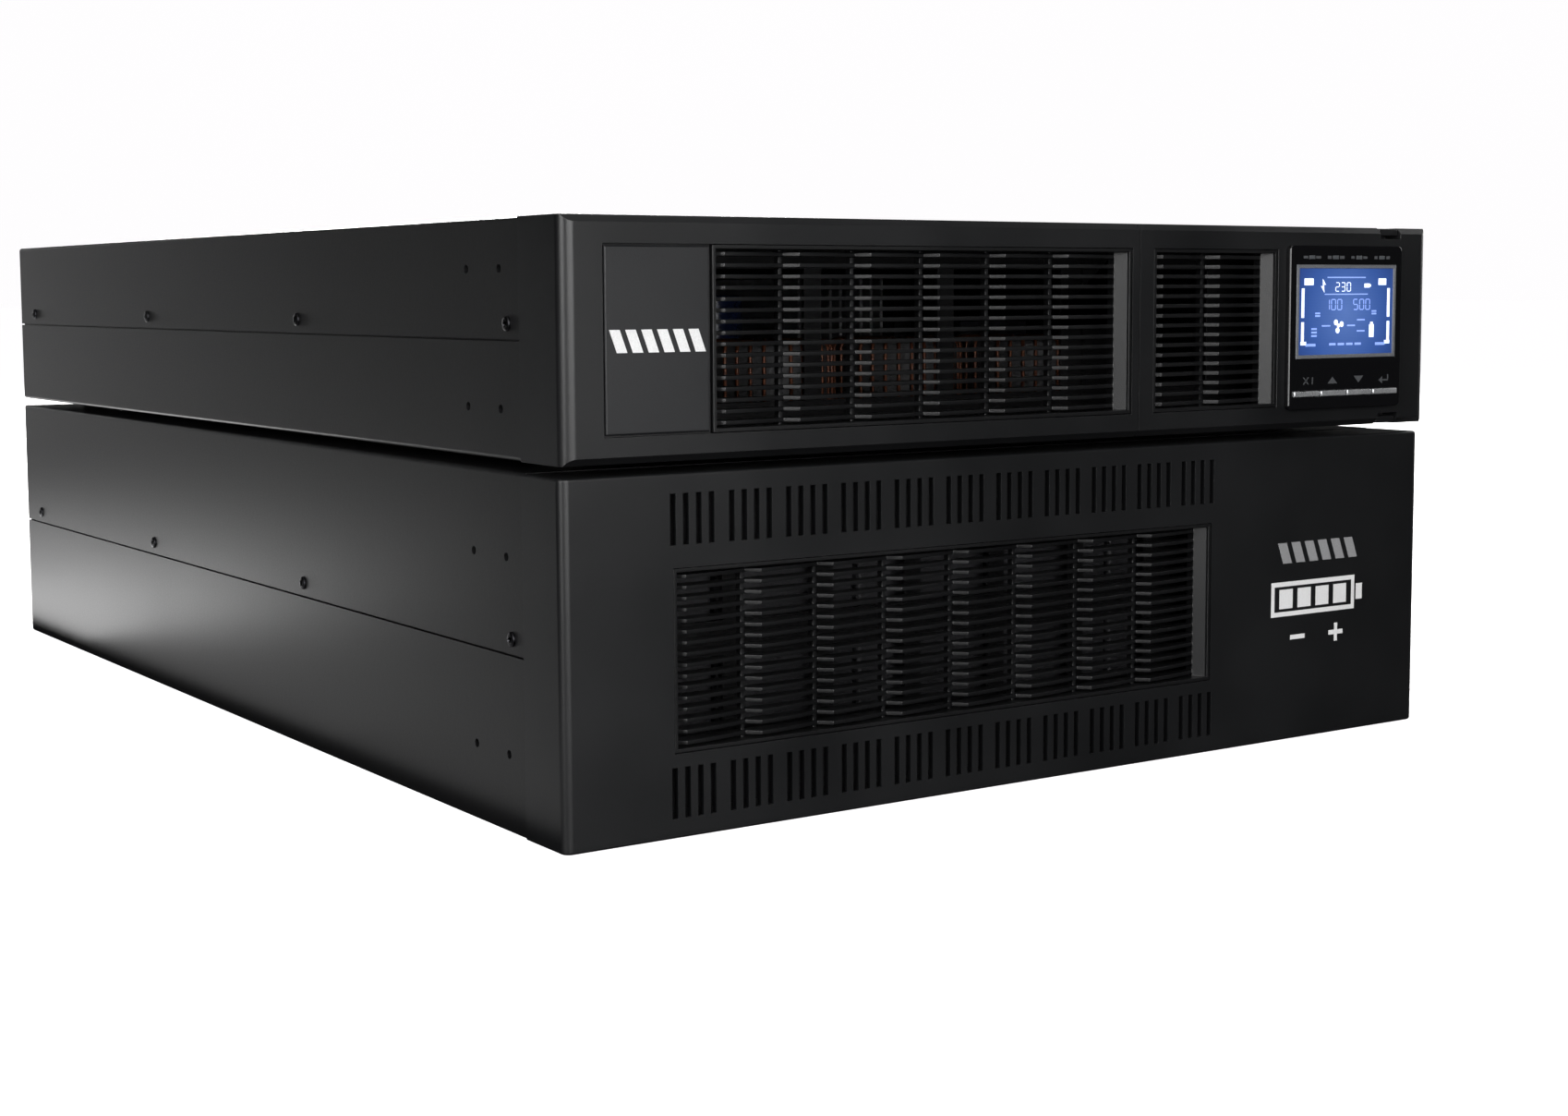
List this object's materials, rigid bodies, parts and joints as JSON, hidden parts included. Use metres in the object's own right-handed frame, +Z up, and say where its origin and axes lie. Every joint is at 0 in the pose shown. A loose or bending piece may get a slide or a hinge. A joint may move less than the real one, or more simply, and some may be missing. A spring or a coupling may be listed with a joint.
{
  "type": "rackmount ups",
  "caption": "Rack-mount uninterruptible power supply: a slim power module with wave grilles and a square turning display, standing on a taller battery pack.",
  "frame": {"origin": "centre of the bounding box at the battery pack's underside", "axes": "+Z up, fronts face -Y, +X to the right seen from the front, depth along Y"},
  "size_m": [0.4396, 0.682, 0.222],
  "materials": {
    "case_paint": "semi-gloss fine-texture powder coat",
    "front_moulding": "fine-grain black moulding",
    "grille_moulding": "fine-grain black moulding",
    "badge_plastic": "satin dark grey plate",
    "display_gloss": "gloss black",
    "lit_screen": "lit blue display",
    "screen_trim": "pale trim",
    "lamp_lens": "small clear lamp windows",
    "silver_keys": "silver painted keys",
    "rubber_feet": "matt",
    "black_screws": "black zinc",
    "zinc_steel": "zinc plated",
    "battery_case": "ribbed dark case",
    "terminal_metal": "tinned",
    "copper_strap": "bare copper",
    "cable_sheath": "satin",
    "connector_grey": "grey housing",
    "breaker_body": "moulded",
    "breaker_lever": "moulded",
    "circuit_board": "green solder mask",
    "heatsink_metal": "mill finish",
    "capacitor_sleeve": "sleeved can",
    "winding": "enamelled wire on a ring core",
    "module_plastic": "moulded blocks",
    "fan_plastic": "moulded",
    "guard_wire": "plated wire",
    "terminal_plastic": "moulded",
    "port_metal": "nickel plated",
    "port_green": "moulded"
  },
  "bodies": {
    "pack": {"battery_hold_downs": "zinc_steel", "battery_links": "copper_strap", "battery_row_1": "battery_case", "battery_row_2": "battery_case", "battery_row_3": "battery_case", "battery_terminals": "terminal_metal", "pack_breaker": "breaker_body", "pack_cables": "cable_sheath", "pack_connectors": "connector_grey", "pack_front_cover": "front_moulding", "pack_rear_panel": "case_paint", "pack_screws": "black_screws", "pack_top_cover": "case_paint", "pack_tray": "case_paint", "pack_wave_grille": "grille_moulding"},
    "ups": {"board_modules": "module_plastic", "bus_capacitors": "capacitor_sleeve", "control_board": "circuit_board", "fan_frame_left": "fan_plastic", "fan_frame_right": "fan_plastic", "fan_guard_left": "guard_wire", "fan_guard_right": "guard_wire", "filter_inductors": "winding", "ground_stud": "zinc_steel", "heatsinks": "heatsink_metal", "input_breaker": "breaker_body", "power_board": "circuit_board", "power_off_port": "port_green", "right_front_cover": "front_moulding", "right_wave_grille": "grille_moulding", "serial_port": "port_metal", "slot_cover": "case_paint", "terminal_block": "terminal_plastic", "terminal_cover": "case_paint", "ups_battery_connector": "connector_grey", "ups_feet": "rubber_feet", "ups_front_plate": "case_paint", "ups_rear_panel": "case_paint", "ups_screws": "black_screws", "ups_top_cover": "case_paint", "ups_tray": "case_paint", "usb_port": "port_metal"},
    "pack_breaker_lever": {"pack_breaker_lever": "breaker_lever"},
    "input_breaker_lever": {"input_breaker_lever": "breaker_lever"},
    "left_cover": {"left_front_cover": "front_moulding", "left_wave_grille": "grille_moulding", "badge_plate": "badge_plastic"},
    "display": {"display_housing": "display_gloss", "display_screen": "lit_screen", "display_frame": "screen_trim", "display_board": "circuit_board", "status_lamps": "lamp_lens"},
    "fan_rotor_left": {"fan_rotor_left": "fan_plastic"},
    "fan_rotor_right": {"fan_rotor_right": "fan_plastic"},
    "lock_tab_upper": {"lock_tab_upper": "front_moulding"},
    "lock_tab_lower": {"lock_tab_lower": "front_moulding"},
    "key_escape": {"key_escape": "silver_keys"},
    "key_up": {"key_up": "silver_keys"},
    "key_down": {"key_down": "silver_keys"},
    "key_enter": {"key_enter": "silver_keys"}
  },
  "joints": [
    {"name": "ups_lift", "type": "slide", "parent": "pack", "child": "ups", "axis": [0, 0, 1], "range_m": [0, 0.12]},
    {"name": "left_cover_pull", "type": "slide", "parent": "ups", "child": "left_cover", "axis": [0, -1, 0], "range_m": [0, 0.05]},
    {"name": "display_turn", "type": "hinge", "parent": "ups", "child": "display", "pos_m": [0.1645, -0.3303, 0.179], "axis": [0, 1, 0], "range_deg": [0, 90]},
    {"name": "key_escape_press", "type": "slide", "parent": "display", "child": "key_escape", "axis": [0, 1, 0], "range_m": [0, 0.0008], "stiffness_N_per_m": 600, "springref_m": -0.0004},
    {"name": "key_up_press", "type": "slide", "parent": "display", "child": "key_up", "axis": [0, 1, 0], "range_m": [0, 0.0008], "stiffness_N_per_m": 600, "springref_m": -0.0004},
    {"name": "key_down_press", "type": "slide", "parent": "display", "child": "key_down", "axis": [0, 1, 0], "range_m": [0, 0.0008], "stiffness_N_per_m": 600, "springref_m": -0.0004},
    {"name": "key_enter_press", "type": "slide", "parent": "display", "child": "key_enter", "axis": [0, 1, 0], "range_m": [0, 0.0008], "stiffness_N_per_m": 600, "springref_m": -0.0004},
    {"name": "lock_tab_upper_press", "type": "slide", "parent": "ups", "child": "lock_tab_upper", "axis": [0, 0, -1], "range_m": [0, 0.0015], "stiffness_N_per_m": 1200, "springref_m": -0.0008},
    {"name": "lock_tab_lower_press", "type": "slide", "parent": "ups", "child": "lock_tab_lower", "axis": [0, 0, 1], "range_m": [0, 0.0015], "stiffness_N_per_m": 1200, "springref_m": -0.0008},
    {"name": "fan_left_spin", "type": "hinge", "parent": "ups", "child": "fan_rotor_left", "pos_m": [-0.1651, 0.325, 0.179], "axis": [0, 1, 0], "continuous": true},
    {"name": "fan_right_spin", "type": "hinge", "parent": "ups", "child": "fan_rotor_right", "pos_m": [-0.0811, 0.325, 0.179], "axis": [0, 1, 0], "continuous": true},
    {"name": "input_breaker_throw", "type": "hinge", "parent": "ups", "child": "input_breaker_lever", "pos_m": [0.0551, 0.3265, 0.192], "axis": [1, 0, 0], "range_deg": [-70, 0]},
    {"name": "pack_breaker_throw", "type": "hinge", "parent": "pack", "child": "pack_breaker_lever", "pos_m": [0.1551, 0.3265, 0.066], "axis": [1, 0, 0], "range_deg": [-70, 0]}
  ]
}
